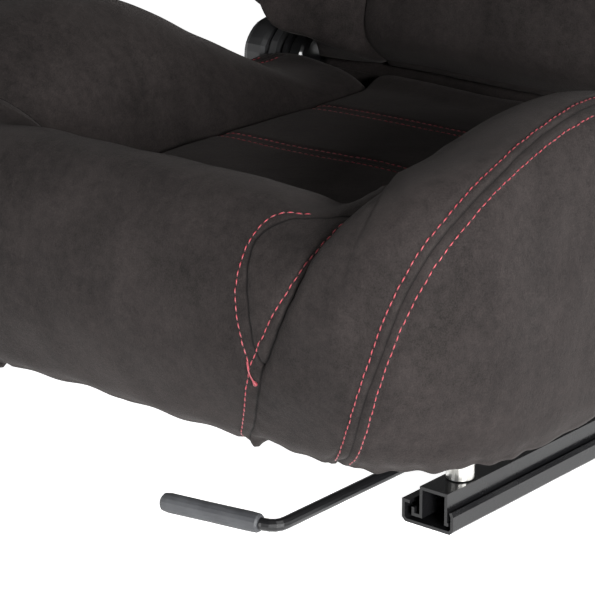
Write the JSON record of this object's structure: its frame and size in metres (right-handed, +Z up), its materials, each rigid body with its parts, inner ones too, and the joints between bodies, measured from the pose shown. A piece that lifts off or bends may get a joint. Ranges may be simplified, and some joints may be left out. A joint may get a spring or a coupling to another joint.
{
  "type": "racing seat",
  "caption": "Reclining half-bucket racing seat in black microsuede with thigh and back bolsters, harness openings, recliner knobs and a pair of slide rails with a bent release handle.",
  "frame": {"origin": "on the floor, below the middle of the seat's overall box", "axes": "+X to the occupant's left, -Y towards the front of the seat, +Z up"},
  "size_m": [0.6322, 0.8228, 0.9009],
  "materials": {
    "suede": "matt microsuede with red topstitching",
    "shell_cloth": "smooth backing cloth over a moulded panel",
    "rail_paint": "gloss black",
    "frame_paint": "semi-gloss black",
    "zinc": "bright zinc plate",
    "grip_rubber": "dark grey, satin",
    "moulded_plastic": "fine grain"
  },
  "bodies": {
    "floor_rails": {"left_lower_rail": "rail_paint", "right_lower_rail": "rail_paint"},
    "left_cage": {"left_roller_cage": "zinc"},
    "right_cage": {"right_roller_cage": "zinc"},
    "seat": {"left_upper_rail": "rail_paint", "right_upper_rail": "rail_paint", "left_front_spacer": "zinc", "right_front_spacer": "zinc", "left_rear_spacer": "zinc", "right_rear_spacer": "zinc", "left_front_seat_bolt": "zinc", "right_front_seat_bolt": "zinc", "left_rear_seat_bolt": "zinc", "right_rear_seat_bolt": "zinc", "left_side_member": "frame_paint", "right_side_member": "frame_paint", "front_cross_tube": "frame_paint", "rear_cross_tube": "frame_paint", "seat_tray": "frame_paint", "front_roll_cushion": "suede", "left_thigh_bolster": "suede", "right_thigh_bolster": "suede", "seat_pan_cushion": "suede", "handle_bracket": "frame_paint", "left_latch_bracket": "zinc", "right_latch_bracket": "zinc", "left_recliner_bracket": "frame_paint", "right_recliner_bracket": "frame_paint", "left_recliner_housing": "frame_paint", "right_recliner_housing": "frame_paint", "left_bracket_bolt": "zinc", "right_bracket_bolt": "zinc", "left_recliner_cover": "moulded_plastic", "right_recliner_cover": "moulded_plastic"},
    "release_handle": {"handle_rod": "frame_paint", "handle_grip": "grip_rubber"},
    "left_latch": {"left_latch": "zinc"},
    "right_latch": {"right_latch": "zinc"},
    "release_link": {"release_link": "zinc"},
    "backrest": {"left_back_arm": "frame_paint", "right_back_arm": "frame_paint", "left_arm_bolt": "zinc", "right_arm_bolt": "zinc", "left_back_upright": "frame_paint", "right_back_upright": "frame_paint", "lower_back_tube": "frame_paint", "upper_back_tube": "frame_paint", "back_support_sheet": "frame_paint", "back_centre_cushion": "suede", "left_back_wing": "suede", "right_back_wing": "suede", "shoulder_cushion": "suede", "headrest_cushion": "suede", "left_harness_bezel": "moulded_plastic", "right_harness_bezel": "moulded_plastic", "back_shell": "shell_cloth"},
    "recliner_knobs": {"recliner_shaft": "frame_paint", "left_recliner_knob": "moulded_plastic", "right_recliner_knob": "moulded_plastic"}
  },
  "joints": [
    {"name": "seat_slide", "type": "slide", "parent": "floor_rails", "child": "seat", "axis": [0, 1, 0], "range_m": [-0.08, 0.08]},
    {"name": "left_cage_roll", "type": "slide", "parent": "floor_rails", "child": "left_cage", "axis": [0, 1, 0], "range_m": [-0.041, 0.041]},
    {"name": "right_cage_roll", "type": "slide", "parent": "floor_rails", "child": "right_cage", "axis": [0, 1, 0], "range_m": [-0.041, 0.041]},
    {"name": "recline", "type": "hinge", "parent": "seat", "child": "backrest", "pos_m": [0, 0.20834, 0.165], "axis": [-1, 0, 0], "range_deg": [-8, 55]},
    {"name": "knob_turn", "type": "hinge", "parent": "seat", "child": "recliner_knobs", "pos_m": [0, 0.20834, 0.165], "axis": [-1, 0, 0], "range_deg": [-289, 1981]},
    {"name": "handle_lift", "type": "hinge", "parent": "seat", "child": "release_handle", "pos_m": [0.199, -0.38966, 0.023], "axis": [0, 1, 0], "range_deg": [0, 18], "stiffness_Nm_per_rad": 0.8, "springref_deg": -11.46},
    {"name": "left_latch_tilt", "type": "hinge", "parent": "seat", "child": "left_latch", "pos_m": [0.22, -0.09366, 0.0255], "axis": [0, -1, 0], "range_deg": [0, 21]},
    {"name": "right_latch_tilt", "type": "hinge", "parent": "seat", "child": "right_latch", "pos_m": [-0.22, -0.09366, 0.0255], "axis": [0, 1, 0], "range_deg": [0, 21]},
    {"name": "link_pull", "type": "slide", "parent": "seat", "child": "release_link", "axis": [-1, 0, 0], "range_m": [0, 0.0046]}
  ],
  "couplings": [
    {"joint": "left_cage_roll", "follows": "seat_slide", "ratio": 0.5},
    {"joint": "right_cage_roll", "follows": "seat_slide", "ratio": 0.5},
    {"joint": "knob_turn", "follows": "recline", "ratio": 36},
    {"joint": "left_latch_tilt", "follows": "handle_lift", "ratio": 1.15},
    {"joint": "right_latch_tilt", "follows": "handle_lift", "ratio": 1.15},
    {"joint": "link_pull", "follows": "handle_lift", "m_per_rad": 0.0143}
  ]
}
